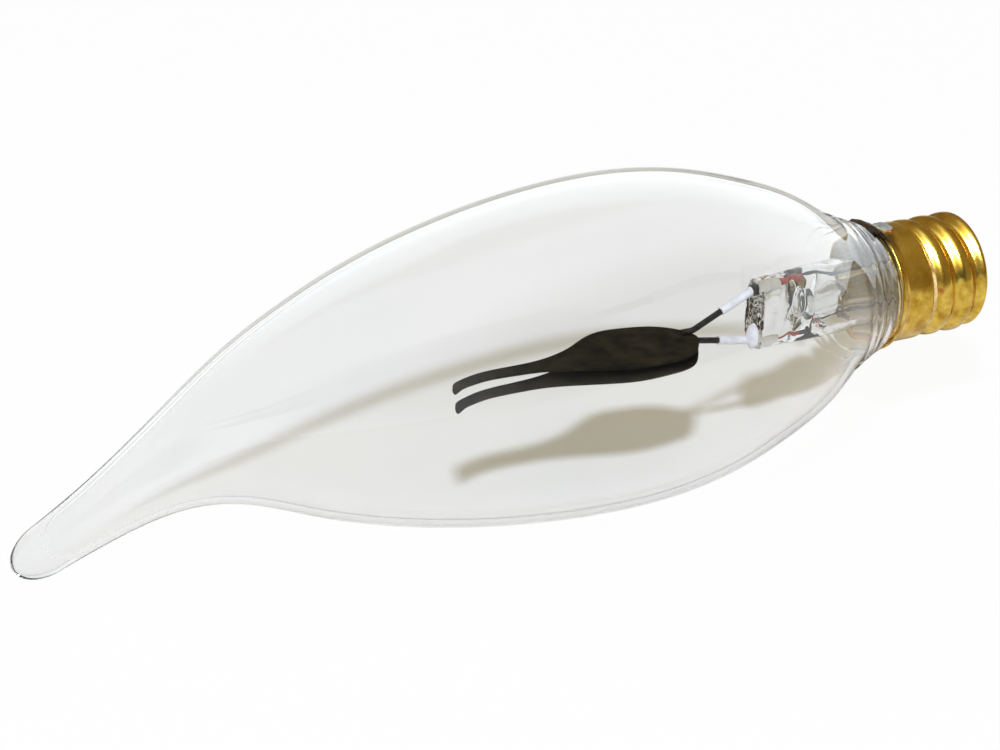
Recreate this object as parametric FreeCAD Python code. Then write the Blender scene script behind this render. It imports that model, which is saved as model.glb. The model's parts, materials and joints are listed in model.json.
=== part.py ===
"""Flicker flame lamp: a clear bent-tip glass bulb with two flame shaped plates on a candelabra screw base.

Millimetres. The lamp is modelled upright in its own frame: +Z runs along the axis to the tip, Z = 0 is the
open rim of the brass shell, and the tip bends towards +X. At the end everything is laid down as the lamp
comes to rest: belly on the floor, bent tip hanging down towards -Z, tip end towards -X.
"""
import FreeCAD, Part
import math
import os

os.makedirs("parts", exist_ok=True)
V = FreeCAD.Vector

# Candelabra screw shell, rolled from thin brass: the standard size that the neck of the bulb fits
SKIRT_RADIUS = 5.95
SHELL_WALL = 0.25
RIM_RADIUS = SKIRT_RADIUS + 0.50
RIM_HEIGHT = 1.2
THREAD_START = -3.6
THREAD_END = -10.2
THREAD_PITCH = 2.54
THREAD_CREST_RADIUS = SKIRT_RADIUS - 0.02
THREAD_DEPTH = 0.55
THREAD_RUN = 1.0
THREAD_PHASE = 165.0
SHELL_END = -11.4
SHELL_END_RADIUS = SKIRT_RADIUS - 1.60
SECTIONS_PER_TURN = 8

# Glass envelope: the shape gives shares of the height and of the growth in radius, below and above the belly
CEMENT_GAP = 0.65
NECK_RADIUS = SKIRT_RADIUS - SHELL_WALL - CEMENT_GAP
NECK_BOTTOM = -4.6
NECK_TOP = -1.2
SHOULDER_RADIUS = SKIRT_RADIUS + 0.35
SHOULDER_HEIGHT = 0.45
BELLY_RADIUS = 16.30
BELLY_HEIGHT = 31.5
TIP_RADIUS = 2.45
GLASS_LENGTH = 96.2
GLASS_WALL = 0.70
SOLID_TIP = 3.4
LOWER_SHAPE = ((0.048, 0.040), (0.095, 0.105), (0.162, 0.215), (0.292, 0.475), (0.454, 0.700), (0.651, 0.890),
               (0.873, 0.995))
UPPER_SHAPE = ((0.062, 0.998), (0.241, 0.902), (0.399, 0.733), (0.556, 0.469), (0.716, 0.166), (0.842, 0.043),
               (0.937, 0.0))
GLASS_RINGS = 26

# The centreline leans a little all the way up, then the softened tip was pulled over
BODY_TURN = 3.0
TIP_TURN = 24.0
BEND_START = GLASS_LENGTH * 0.645
BEND_END = GLASS_LENGTH * 0.894

# Insulator, centre contact and solder at the bottom
INSULATOR_SEAT = 0.9
INSULATOR_PLAY = 0.05
INSULATOR_END = SHELL_END - 0.8
INSULATOR_TIP_RADIUS = 2.9
CONTACT_RADIUS = 2.3
CONTACT_THICKNESS = 0.25
CONTACT_HOLE = 0.6
SOLDER_RADIUS = 1.6
SOLDER_HEIGHT = 0.6

# Cement that holds the glass in the shell, and what was left on the rim when its wire was soldered
CEMENT_BOTTOM = NECK_BOTTOM + 0.4
CEMENT_TOP = -0.1
SOLDER_DROP = 1.75
SOLDER_RISE = 0.55
SOLDER_PLACE = -0.5
FLUX_DROP = 1.9
FLUX_RISE = 0.85
FLUX_PLACE = 1.5
FLUX_SHIFT = 0.6

# Pinched glass stem, sealed a little crooked
STEM_LEAN = 2.25
STEM_RADIUS = NECK_RADIUS - GLASS_WALL - 0.65
STEM_WALL = 0.65
STEM_SHOULDER = 5.6
PRESS_BOTTOM = 9.9
PRESS_TOP = 13.7
PRESS_HALF_WIDTH = STEM_RADIUS - 0.05
PRESS_HALF_THICKNESS = 1.65
PRESS_SQUARENESS = 3.6
PINCH_POINTS = 12
PINCH_STEPS = 5
FLARE_HEIGHT = 2.6
FLARE_OVERLAP = 0.25
FLARE_STEPS = 3
BORE_TOP = 8.0
BORE_FLAT = 1.2
EXHAUST_RADIUS = STEM_RADIUS * 0.39
EXHAUST_WALL = 0.45
EXHAUST_BOTTOM = NECK_BOTTOM - 2.4
EXHAUST_FILLET = EXHAUST_RADIUS * 0.34

# Wires
LEAD_OFFSET = PRESS_HALF_WIDTH - 0.90
LEAD_RADIUS = 0.31
LEAD_SHIFT = 0.22
SLEEVE_RADIUS = 0.43
SLEEVE_BOTTOM = PRESS_TOP - 2.6
SLEEVE_TOP = PRESS_TOP + 4.0
SEAL_RADIUS = 0.18
SEAL_BOTTOM = BORE_TOP + 0.4
OUTER_LEAD_RADIUS = 0.15
LEAD_IN_BORE = 0.78
LEAD_TURN_DROP = 1.5
WIRE_BEND = 1.2
BEAD_RADIUS = 0.62

# Flame plates: outline as distance from the welded end and distance to each side
PLATE_START = 20.9
WELD_LENGTH = 1.3
PLATE_THICKNESS = 0.30
PLATE_CENTRE = 0.55
UPPER_PLATE = 1.50
PLATE_GAP = 1.10
LOWER_PLATE_TURN = 1.4
LOWER_PLATE_TILT = 1.25
FLAME_FAR_SIDE = (
    (0.0, -0.1), (1.1, -1.88), (3.2, -3.3), (5.7, -3.95), (8.3, -4.2), (10.5, -3.6), (12.8, -2.35),
    (15.2, -1.4), (18.0, -0.88), (21.5, -0.85), (24.6, -0.65), (26.7, -0.05), (27.9, 0.75))
FLAME_NEAR_SIDE = (
    (28.3, 1.95), (27.4, 1.45), (26.3, 1.02), (24.2, 0.62), (21.2, 0.68), (18.0, 1.03), (15.0, 1.9),
    (12.0, 2.98), (8.8, 3.88), (5.3, 4.0), (2.4, 3.5), (0.6, 1.8))

# Ballast resistor in the base, beside the exhaust tube
RESISTOR_RADIUS = 1.1
RESISTOR_LENGTH = 3.2
RESISTOR_TOP = NECK_BOTTOM - 2.0
RESISTOR_OFFSET = EXHAUST_RADIUS + RESISTOR_RADIUS + 0.35
RESISTOR_LEAD_RUN = 0.6
CAP_LENGTH = 0.9
CAP_WALL = 0.12

# Resting attitude: the belly alone carries the lamp, balanced, with the base end a little lower
REST_TILT = 2.2


def smooth_step(t):
    t = min(max(t, 0.0), 1.0)
    return t * t * (3.0 - 2.0 * t)


def centreline_turn(height):
    """Turn of the glass centreline towards +X, in degrees."""
    lean = BODY_TURN * min(max(height, 0.0), BEND_START) / BEND_START
    return lean + TIP_TURN * smooth_step((height - BEND_START) / (BEND_END - BEND_START))


def centreline_place(height):
    """Placement whose origin lies on the centreline and whose Z axis follows it."""
    steps = max(1, int(abs(height) * 4))
    step = height / steps
    x = z = 0.0
    for index in range(steps):
        turn = math.radians(centreline_turn((index + 0.5) * step))
        x += math.sin(turn) * step
        z += math.cos(turn) * step
    return FreeCAD.Placement(V(x, 0, z), FreeCAD.Rotation(V(0, 1, 0), centreline_turn(height)))


def at_height(height, x=0.0, y=0.0):
    return FreeCAD.Placement(V(x, y, height), FreeCAD.Rotation())


def ring(place, radius):
    """Circle square to the Z axis of a placement."""
    wire = Part.Wire(Part.Circle(V(0, 0, 0), V(0, 0, 1), radius).toShape())
    wire.Placement = place
    return wire


def pinched_ring(height, half_x, half_y, squareness):
    """Closed section that goes from an ellipse to a rounded rectangle above squareness 2."""
    points = []
    for index in range(PINCH_POINTS):
        angle = 2 * math.pi * index / PINCH_POINTS
        cosine, sine = math.cos(angle), math.sin(angle)
        points.append(V(half_x * math.copysign(abs(cosine) ** (2 / squareness), cosine),
                        half_y * math.copysign(abs(sine) ** (2 / squareness), sine), height))
    curve = Part.BSplineCurve()
    curve.interpolate(Points=points, PeriodicFlag=True)
    return Part.Wire(curve.toShape())


def loft(rings):
    """Solid through rings that lie close enough together for straight runs between them."""
    return Part.makeLoft(rings, True, True)


def revolve(profile):
    """Closed (radius, height) outline turned round the Z axis."""
    points = [V(radius, 0, height) for radius, height in profile]
    face = Part.Face(Part.makePolygon(points + points[:1]))
    return face.revolve(V(0, 0, 0), V(0, 0, 1), 360)


def rounded_path(points, bend):
    """Straight runs joined by tangent arcs."""
    edges = []
    start = points[0]
    for before, corner, after in zip(points, points[1:], points[2:]):
        incoming = (corner - before).normalize()
        outgoing = (after - corner).normalize()
        half_turn = incoming.getAngle(outgoing) / 2
        room = 0.45 * min((corner - before).Length, (after - corner).Length)
        cut_back = min(bend * math.tan(half_turn), room)
        first = corner - incoming * cut_back
        last = corner + outgoing * cut_back
        radius = cut_back / math.tan(half_turn)
        inward = (outgoing - incoming).normalize()
        middle = corner + inward * (radius / math.cos(half_turn) - radius)
        edges.append(Part.LineSegment(start, first).toShape())
        edges.append(Part.Arc(first, middle, last).toShape())
        start = last
    edges.append(Part.LineSegment(start, points[-1]).toShape())
    return Part.Wire(edges)


def round_bar(points, radius, bend=WIRE_BEND):
    """Round wire along a path of straight runs and arcs."""
    path = rounded_path(points, bend)
    section = Part.Wire(Part.Circle(points[0], points[1] - points[0], radius).toShape())
    return path.makePipeShell([section], True, False)


def stem_place():
    """The stem leans about its seal at the bottom of the neck."""
    return FreeCAD.Placement(V(0, 0, 0), FreeCAD.Rotation(V(0, 1, 0), STEM_LEAN), V(0, 0, NECK_BOTTOM))


def on_stem(x, height, y=0.0):
    return stem_place().multVec(V(x, y, height))


# Glass envelope

def envelope_profile():
    """Outside of the glass as a curve of radius and height, from the top of the neck to the round tip."""
    neck = [(NECK_TOP, NECK_RADIUS), ((NECK_TOP + SHOULDER_HEIGHT) / 2, (NECK_RADIUS + SHOULDER_RADIUS) / 2),
            (SHOULDER_HEIGHT, SHOULDER_RADIUS)]
    lower = [(BELLY_HEIGHT * rise, SHOULDER_RADIUS + (BELLY_RADIUS - SHOULDER_RADIUS) * growth)
             for rise, growth in LOWER_SHAPE]
    above = GLASS_LENGTH - BELLY_HEIGHT
    upper = [(BELLY_HEIGHT + above * rise, TIP_RADIUS + (BELLY_RADIUS - TIP_RADIUS) * growth)
             for rise, growth in UPPER_SHAPE]
    points = [V(radius, 0, height) for height, radius in neck + lower + upper]
    curve = Part.BSplineCurve()
    curve.interpolate(Points=points, InitialTangent=V(0, 0, 1), FinalTangent=V(0, 0, 1))
    return curve


def envelope_rings(wall):
    """Rings of the glass surface that lies the given wall thickness inside the outer one."""
    curve = envelope_profile()
    rings = [(NECK_RADIUS - wall, NECK_BOTTOM - wall)]
    for index in range(GLASS_RINGS):
        at = curve.FirstParameter + (curve.LastParameter - curve.FirstParameter) * index / (GLASS_RINGS - 1)
        point = curve.value(at)
        along = curve.tangent(at)[0]
        rings.append((point.x - wall * along.z, point.z + wall * along.x))
    return rings


def rounded_end(radius, height, length, flat):
    """Rings of a rounded end that closes on a small flat."""
    steps = 5
    last = math.acos(flat / radius)
    return [(radius * math.cos(last * step / steps), height + length * math.sin(last * step / steps))
            for step in range(1, steps + 1)]


def make_envelope():
    outer = envelope_rings(0.0)
    tip_start = outer[-1][1]
    outer += rounded_end(TIP_RADIUS, tip_start, GLASS_LENGTH - tip_start, TIP_RADIUS * 0.2)
    inner = [(radius, height) for radius, height in envelope_rings(GLASS_WALL)
             if height < GLASS_LENGTH - 2 * SOLID_TIP]
    radius, height = inner[-1]
    inner += rounded_end(radius, height, GLASS_LENGTH - SOLID_TIP - height, radius * 0.2)
    return [loft([ring(centreline_place(height), radius) for radius, height in rings])
            for rings in (outer, inner)]


# Screw shell

def shell_section(height, outward):
    """A rolled round thread is a circle whose centre steps round the axis once in each pitch."""
    start = smooth_step((THREAD_START - height) / THREAD_RUN)
    end = smooth_step((THREAD_END - height) / (THREAD_END - SHELL_END))
    eccentricity = THREAD_DEPTH / 2 * start * (1 - end)
    mean_radius = THREAD_CREST_RADIUS - THREAD_DEPTH / 2
    radius = SKIRT_RADIUS + (mean_radius - SKIRT_RADIUS) * start
    radius += (RIM_RADIUS - SKIRT_RADIUS) * (1 - smooth_step(-height / RIM_HEIGHT))
    radius += (SHELL_END_RADIUS - mean_radius) * end * end
    angle = math.radians(THREAD_PHASE + 360 * height / THREAD_PITCH)
    place = at_height(height, eccentricity * math.cos(angle), eccentricity * math.sin(angle))
    return ring(place, radius + outward)


def shell_heights():
    rim = [0.0, -RIM_HEIGHT / 3, -RIM_HEIGHT * 2 / 3, -RIM_HEIGHT, -RIM_HEIGHT * 1.6]
    skirt = [THREAD_START * 0.6, THREAD_START * 0.85]
    turns = (THREAD_START - THREAD_END) / THREAD_PITCH
    count = int(round(turns * SECTIONS_PER_TURN))
    thread = [THREAD_START + (THREAD_END - THREAD_START) * index / count for index in range(count + 1)]
    close = [THREAD_END + (SHELL_END - THREAD_END) * share for share in (0.25, 0.5, 0.75, 1.0)]
    return rim + skirt + thread + close


def make_shell():
    return [loft([shell_section(height, outward) for height in shell_heights()])
            for outward in (0.0, -SHELL_WALL)]


# Cement, insulator, contact and solder

def make_cement(glass, shell_inside, shell_lead):
    ring_height = CEMENT_TOP - CEMENT_BOTTOM
    block = Part.makeCylinder(RIM_RADIUS, ring_height, V(0, 0, CEMENT_BOTTOM))
    bore = Part.makeCylinder(NECK_RADIUS - GLASS_WALL / 2, ring_height, V(0, 0, CEMENT_BOTTOM))
    return block.common(shell_inside).cut(bore).cut(glass).cut(shell_lead)


def make_insulator(shell_inside):
    """Moulded cone: a flange sits inside the end of the shell and the nose carries the contact."""
    top = SHELL_END + INSULATOR_SEAT
    mouth_radius = SHELL_END_RADIUS - SHELL_WALL - INSULATOR_PLAY
    nose = revolve([(CONTACT_HOLE, top), (mouth_radius, top), (mouth_radius, SHELL_END - INSULATOR_PLAY),
                    (INSULATOR_TIP_RADIUS, INSULATOR_END), (CONTACT_HOLE, INSULATOR_END)])
    flange = Part.makeCylinder(SKIRT_RADIUS, INSULATOR_SEAT, V(0, 0, SHELL_END)).common(shell_inside)
    hole = Part.makeCylinder(CONTACT_HOLE, top - INSULATOR_END, V(0, 0, INSULATOR_END))
    return nose.fuse(flange).cut(hole).removeSplitter()


def make_contact():
    """Brass eyelet with a rounded edge."""
    bottom = INSULATOR_END - CONTACT_THICKNESS
    disc = Part.makeCylinder(CONTACT_RADIUS, CONTACT_THICKNESS, V(0, 0, bottom))
    disc = disc.makeFillet(CONTACT_THICKNESS * 0.8, [disc.Edges[2]])
    hole = Part.makeCylinder(CONTACT_HOLE, CONTACT_THICKNESS, V(0, 0, bottom))
    return disc.cut(hole)


def spherical_cap(radius, height, z):
    """Dome below z, flat side up."""
    sphere_radius = (radius * radius + height * height) / (2 * height)
    ball = Part.makeSphere(sphere_radius, V(0, 0, z + sphere_radius - height))
    return ball.common(Part.makeCylinder(radius, height, V(0, 0, z - height)))


def make_centre_solder(contact_lead):
    """Dome under the contact and the plug of solder in its hole, round the wire."""
    bottom = INSULATOR_END - CONTACT_THICKNESS
    plug = Part.makeCylinder(CONTACT_HOLE, CONTACT_THICKNESS, V(0, 0, bottom))
    return spherical_cap(SOLDER_RADIUS, SOLDER_HEIGHT, bottom).fuse(plug).removeSplitter().cut(contact_lead)


def round_drop(radius, rise, height, shift):
    """Drop on the side away from the bent tip that rises the given amount above the rim of the shell."""
    return Part.makeSphere(radius, V(-(RIM_RADIUS + rise - radius), shift, height))


def make_rim_solder(shell_outside, glass, shell_lead):
    """Hand laid blob over the rim of the shell."""
    drop = round_drop(SOLDER_DROP, SOLDER_RISE, SOLDER_PLACE, 0.0)
    return drop.cut(shell_outside).cut(glass).cut(shell_lead)


def make_rim_flux(shell_outside, glass, rim_solder):
    """Burnt flux that ran up the shoulder of the glass beside the solder."""
    drop = round_drop(FLUX_DROP, FLUX_RISE, FLUX_PLACE, FLUX_SHIFT)
    return drop.cut(shell_outside).cut(glass).cut(rim_solder)


# Stem

def make_stem(envelope, cavities):
    """Flared tube pinched flat round the wires, one piece of glass."""
    flare_radius = NECK_RADIUS - GLASS_WALL + FLARE_OVERLAP
    rings = []
    for step in range(FLARE_STEPS + 1):
        share = step / FLARE_STEPS
        rings.append(ring(at_height(NECK_BOTTOM + FLARE_HEIGHT * share),
                          STEM_RADIUS + (flare_radius - STEM_RADIUS) * (1 - share) ** 2))
    rings.append(ring(at_height(STEM_SHOULDER), STEM_RADIUS))
    for step in range(1, PINCH_STEPS + 1):
        share = step / PINCH_STEPS
        blend = smooth_step(share)
        rings.append(pinched_ring(STEM_SHOULDER + (PRESS_BOTTOM - STEM_SHOULDER) * share,
                                  STEM_RADIUS + (PRESS_HALF_WIDTH - STEM_RADIUS) * blend,
                                  STEM_RADIUS + (PRESS_HALF_THICKNESS - STEM_RADIUS) * blend,
                                  2.0 + (PRESS_SQUARENESS - 2.0) * blend))
    rings.append(pinched_ring(PRESS_TOP, PRESS_HALF_WIDTH, PRESS_HALF_THICKNESS, PRESS_SQUARENESS))
    bore_radius = STEM_RADIUS - STEM_WALL
    bore = [ring(at_height(NECK_BOTTOM), flare_radius - STEM_WALL),
            ring(at_height(NECK_BOTTOM + FLARE_HEIGHT), bore_radius),
            ring(at_height(STEM_SHOULDER), bore_radius)]
    dome = rounded_end(bore_radius, STEM_SHOULDER, BORE_TOP - STEM_SHOULDER, BORE_FLAT)
    bore += [ring(at_height(height), radius) for radius, height in dome]
    stem = loft(rings).cut(loft(bore))
    stem.Placement = stem_place()
    for cavity in cavities:
        stem = stem.cut(cavity)
    return stem.cut(envelope)


def make_exhaust():
    """Thin tube below the pinch, drawn off and closed with a round drop inside the base."""
    top = BORE_TOP - EXHAUST_WALL
    length = top - EXHAUST_BOTTOM
    tube = Part.makeCylinder(EXHAUST_RADIUS, length, V(0, 0, EXHAUST_BOTTOM))
    tube = tube.fuse(Part.makeSphere(EXHAUST_RADIUS, V(0, 0, EXHAUST_BOTTOM)))
    fillet = Part.makeCone(EXHAUST_RADIUS, EXHAUST_RADIUS + EXHAUST_FILLET, 2 * EXHAUST_FILLET,
                           V(0, 0, top - 2 * EXHAUST_FILLET))
    bore = Part.makeCylinder(EXHAUST_RADIUS - EXHAUST_WALL, length, V(0, 0, EXHAUST_BOTTOM))
    tube = tube.fuse(fillet).cut(bore).removeSplitter()
    tube.Placement = stem_place()
    return tube


# Wires

def lead_route(side):
    """Inner lead from its seal to the face of its plate: side is -1 for the upper one, +1 for the lower."""
    on_plate = plate_height(side) - PLATE_THICKNESS / 2 - LEAD_RADIUS
    weld_end = on_plate + WELD_LENGTH * math.tan(math.radians(plate_tilt(side)))
    return [on_stem(side * LEAD_OFFSET, SLEEVE_BOTTOM), on_stem(side * LEAD_OFFSET, PRESS_TOP + LEAD_RADIUS),
            V(on_plate, LEAD_SHIFT, PLATE_START), V(weld_end, LEAD_SHIFT, PLATE_START + WELD_LENGTH)]


def sleeve_route(side):
    """The same route up to the top of the glass sleeve."""
    start, kink, plate, _ = lead_route(side)
    share = (SLEEVE_TOP - kink.z) / (plate.z - kink.z)
    return [start, kink, kink + (plate - kink) * share]


def make_seal(side):
    route = [on_stem(side * LEAD_OFFSET, SEAL_BOTTOM), on_stem(side * LEAD_OFFSET, SLEEVE_BOTTOM)]
    return Part.makeCylinder(SEAL_RADIUS, (route[1] - route[0]).Length, route[0], route[1] - route[0])


def make_bead(side):
    """Drop of glass frit where a lead leaves the press."""
    centre = on_stem(side * LEAD_OFFSET, PRESS_TOP)
    return Part.makeSphere(BEAD_RADIUS, centre)


def wire_in_bore():
    """Distance from the axis at which the outer leads run down the stem."""
    return (STEM_RADIUS - STEM_WALL) * LEAD_IN_BORE


def shell_lead_route():
    """Outer lead that turns back under the neck and up between glass and shell to the rim."""
    gap_middle = NECK_RADIUS + CEMENT_GAP / 2
    return [on_stem(-LEAD_OFFSET, SEAL_BOTTOM), on_stem(-wire_in_bore(), STEM_SHOULDER * 0.8),
            V(-wire_in_bore(), 0, NECK_BOTTOM),
            V(-(wire_in_bore() + gap_middle) / 2, 0, NECK_BOTTOM - LEAD_TURN_DROP),
            V(-gap_middle, 0, NECK_BOTTOM - LEAD_TURN_DROP * 0.3), V(-gap_middle, 0, NECK_BOTTOM * 0.3)]


def contact_lead_route():
    """Outer lead that runs down the stem to the resistor."""
    return [on_stem(LEAD_OFFSET, SEAL_BOTTOM), on_stem(wire_in_bore() * 0.9, STEM_SHOULDER * 0.8),
            V(wire_in_bore(), 0, NECK_BOTTOM), V(RESISTOR_OFFSET, 0, RESISTOR_TOP + RESISTOR_LEAD_RUN),
            V(RESISTOR_OFFSET, 0, RESISTOR_TOP)]


def resistor_lead_route():
    bottom = RESISTOR_TOP - RESISTOR_LENGTH
    hole_top = SHELL_END + INSULATOR_SEAT
    return [V(RESISTOR_OFFSET, 0, bottom), V(RESISTOR_OFFSET, 0, (bottom + hole_top) / 2),
            V(0, 0, (bottom + hole_top) / 2), V(0, 0, INSULATOR_END - CONTACT_THICKNESS - SOLDER_HEIGHT / 2)]


# Flame plates

def plate_height(side):
    """Distance of a plate's mid plane from the lamp axis at its welded end, towards the bent side."""
    return UPPER_PLATE if side < 0 else UPPER_PLATE + PLATE_GAP


def plate_tilt(side):
    """The plates spread towards their tips: the lower one tilts away from the upper, in degrees."""
    return 0.0 if side < 0 else LOWER_PLATE_TILT


def make_plate(side):
    """Stamped flame: one smooth outline, extruded to the sheet's thickness."""
    outline = [V(0, across, along) for along, across in FLAME_FAR_SIDE + FLAME_NEAR_SIDE]
    curve = Part.BSplineCurve()
    curve.interpolate(Points=outline, PeriodicFlag=True)
    plate = Part.Face(Part.Wire(curve.toShape())).extrude(V(PLATE_THICKNESS, 0, 0))
    turn = 0.0 if side < 0 else -LOWER_PLATE_TURN
    corner = V(plate_height(side) - PLATE_THICKNESS / 2, PLATE_CENTRE, PLATE_START)
    attitude = FreeCAD.Rotation(V(0, 1, 0), plate_tilt(side)).multiply(FreeCAD.Rotation(V(1, 0, 0), turn))
    plate.Placement = FreeCAD.Placement(corner, attitude)
    return plate


# Resistor

def make_resistor():
    bottom = RESISTOR_TOP - RESISTOR_LENGTH
    body = Part.makeCylinder(RESISTOR_RADIUS - CAP_WALL, RESISTOR_LENGTH - 2 * CAP_WALL,
                             V(RESISTOR_OFFSET, 0, bottom + CAP_WALL))
    caps = []
    for base in (RESISTOR_TOP - CAP_LENGTH, bottom):
        cap = Part.makeCylinder(RESISTOR_RADIUS, CAP_LENGTH, V(RESISTOR_OFFSET, 0, base))
        caps.append(cap.cut(body))
    return body, caps


def build_lamp():
    envelope_outside, envelope_inside = make_envelope()
    envelope = envelope_outside.cut(envelope_inside)
    shell_outside, shell_inside = make_shell()
    shell_lead = round_bar(shell_lead_route(), OUTER_LEAD_RADIUS)
    contact_lead = round_bar(contact_lead_route(), OUTER_LEAD_RADIUS)
    resistor_lead = round_bar(resistor_lead_route(), OUTER_LEAD_RADIUS)
    nodes = {"glass_envelope": envelope, "screw_shell": shell_outside.cut(shell_inside)}
    cavities = []
    for side, name in ((-1, "upper"), (1, "lower")):
        wire = round_bar(lead_route(side), LEAD_RADIUS)
        sleeve = round_bar(sleeve_route(side), SLEEVE_RADIUS)
        seal = make_seal(side)
        bead = make_bead(side)
        nodes["inner_lead_" + name] = wire
        nodes["lead_sleeve_" + name] = sleeve.cut(wire)
        nodes["seal_wire_" + name] = seal
        nodes["flame_plate_" + name] = make_plate(side)
        nodes["lead_bead_" + name] = bead.cut(sleeve)
        cavities += [sleeve, seal, bead]
    cavities += [shell_lead, contact_lead]
    nodes["exhaust_tube"] = make_exhaust()
    nodes["glass_stem"] = make_stem(envelope, cavities + [nodes["exhaust_tube"]])
    nodes["outer_lead_shell"] = shell_lead
    nodes["outer_lead_contact"] = contact_lead
    nodes["basing_cement"] = make_cement(envelope_outside, shell_inside, shell_lead)
    nodes["rim_solder"] = make_rim_solder(shell_outside, envelope_outside, shell_lead)
    nodes["rim_flux"] = make_rim_flux(shell_outside, envelope_outside, nodes["rim_solder"])
    nodes["base_insulator"] = make_insulator(shell_inside)
    nodes["centre_contact"] = make_contact()
    nodes["centre_solder"] = make_centre_solder(resistor_lead)
    body, caps = make_resistor()
    nodes["resistor_body"] = body
    nodes["resistor_cap_top"], nodes["resistor_cap_bottom"] = caps
    nodes["resistor_lead"] = resistor_lead
    return nodes


def lay_down(nodes):
    """Turn the lamp on its side, tilt it as it rests and set it on the floor, centred."""
    on_side = FreeCAD.Rotation(V(1, 0, -1), 180)
    tilt = FreeCAD.Rotation(V(0, 1, 0), REST_TILT)
    turned = {}
    for name, shape in nodes.items():
        copy = shape.copy()
        copy.Placement = FreeCAD.Placement(V(0, 0, 0), tilt.multiply(on_side)).multiply(copy.Placement)
        turned[name] = copy
    box = Part.makeCompound(list(turned.values())).optimalBoundingBox()
    centre = V(-(box.XMin + box.XMax) / 2, -(box.YMin + box.YMax) / 2, -box.ZMin)
    for shape in turned.values():
        shape.translate(centre)
    return turned


for node, shape in lay_down(build_lamp()).items():
    shape.exportStep("parts/" + node + ".step")
    print(node, len(shape.Solids), "solid", round(shape.Volume, 2), "mm3, valid:", shape.isValid())
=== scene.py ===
# %% [markdown]
# # A flicker flame lamp in clear glass
# The object is a candle shaped lamp: a blown bulb with a pulled-over tip, two flame shaped plates on a pinched
# glass stem, and a brass screw base. The CAD solids are loaded first. Glass needs smooth, dense surfaces to bend
# light well, so the glass pieces are built again here from the same few sizes. Most of the small hard pieces keep
# their CAD meshes and only get materials.

# %% Load the CAD frame
import json
import math
import bpy
import numpy as np
from mathutils import Matrix, Vector


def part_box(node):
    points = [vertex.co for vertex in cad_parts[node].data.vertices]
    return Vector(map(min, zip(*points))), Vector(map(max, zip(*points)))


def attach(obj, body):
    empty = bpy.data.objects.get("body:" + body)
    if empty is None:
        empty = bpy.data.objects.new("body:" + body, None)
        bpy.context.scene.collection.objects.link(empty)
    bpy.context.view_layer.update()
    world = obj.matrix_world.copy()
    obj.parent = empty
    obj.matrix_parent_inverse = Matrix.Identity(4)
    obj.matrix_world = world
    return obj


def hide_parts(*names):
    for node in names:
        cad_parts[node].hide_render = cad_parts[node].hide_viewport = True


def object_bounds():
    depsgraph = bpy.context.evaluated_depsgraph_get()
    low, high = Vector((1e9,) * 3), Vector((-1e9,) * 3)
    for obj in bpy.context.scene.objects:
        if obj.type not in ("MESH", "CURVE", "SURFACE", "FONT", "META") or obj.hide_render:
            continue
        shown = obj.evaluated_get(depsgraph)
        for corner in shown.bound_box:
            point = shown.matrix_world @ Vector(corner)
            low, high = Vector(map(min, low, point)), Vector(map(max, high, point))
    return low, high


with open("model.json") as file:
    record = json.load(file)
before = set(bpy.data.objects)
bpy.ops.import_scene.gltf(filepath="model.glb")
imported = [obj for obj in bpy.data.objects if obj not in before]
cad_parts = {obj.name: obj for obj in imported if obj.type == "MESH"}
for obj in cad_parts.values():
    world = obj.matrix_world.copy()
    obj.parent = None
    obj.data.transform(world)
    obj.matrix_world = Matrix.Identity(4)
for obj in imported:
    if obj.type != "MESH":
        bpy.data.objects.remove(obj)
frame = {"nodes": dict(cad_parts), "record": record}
nodes = frame["nodes"]
cad_low, cad_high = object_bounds()
MM = 0.001
TO_MM = 1000
print("CAD size in mm:", [round(TO_MM * side, 2) for side in cad_high - cad_low])

# %% [markdown]
# ## The lamp's own axes
# The lamp lies on its belly, but every piece is easier to describe along its own axis. The record's contact point
# and screw axis give that frame: Z runs from the open rim of the shell to the tip, X is the side to which the tip
# bends (down, as it lies), and Y points to the near side. The frame's height is taken from the shell's solid, whose
# highest point is the edge of the rim. Sizes are in millimetres and become metres only when a mesh is placed.

# %% Place the lamp frame
RIM_TO_CONTACT = 13.05
RIM_RADIUS = 6.45

mounts = {mount["name"]: mount for mount in frame["record"]["mounts"]}
to_tip = -Vector(mounts["tip_contact"]["axis"]).normalized()
near_side = Vector((0, -1, 0))
bend_side = near_side.cross(to_tip)
rim_centre = Vector(mounts["tip_contact"]["pos_m"]) + to_tip * RIM_TO_CONTACT * MM
rim_centre.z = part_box("screw_shell")[1].z + to_tip.x * RIM_RADIUS * MM
lamp_frame = Matrix.Translation(rim_centre) @ Matrix((bend_side, near_side, to_tip)).transposed().to_4x4()


def world_point(x, y, z):
    """A point in lamp millimetres as a point of the scene."""
    return lamp_frame @ (Vector((x, y, z)) * MM)


def on_rim(radius, angle, height):
    """A point at an angle round the lamp, measured from the side to which the tip bends."""
    turn = math.radians(angle)
    return (radius * math.cos(turn), radius * math.sin(turn), height)


print("rim centre in mm:", [round(TO_MM * value, 2) for value in rim_centre])

# %% [markdown]
# ## Node helpers
# Every material and every node tree is built in code. One function adds a node, sets its properties and feeds its
# sockets. A value that is a socket or a node is linked and any other value is typed in. Colours are written as the
# hex codes that paint programs show, and one function turns them into the linear values that shaders use.


# %% Helpers for nodes and colours
def srgb(code):
    """Hex colour to the linear values that shaders use."""
    channels = [int(code[index:index + 2], 16) / 255 for index in (1, 3, 5)]
    return tuple(c / 12.92 if c <= 0.04045 else ((c + 0.055) / 1.055) ** 2.4 for c in channels) + (1.0,)


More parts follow.
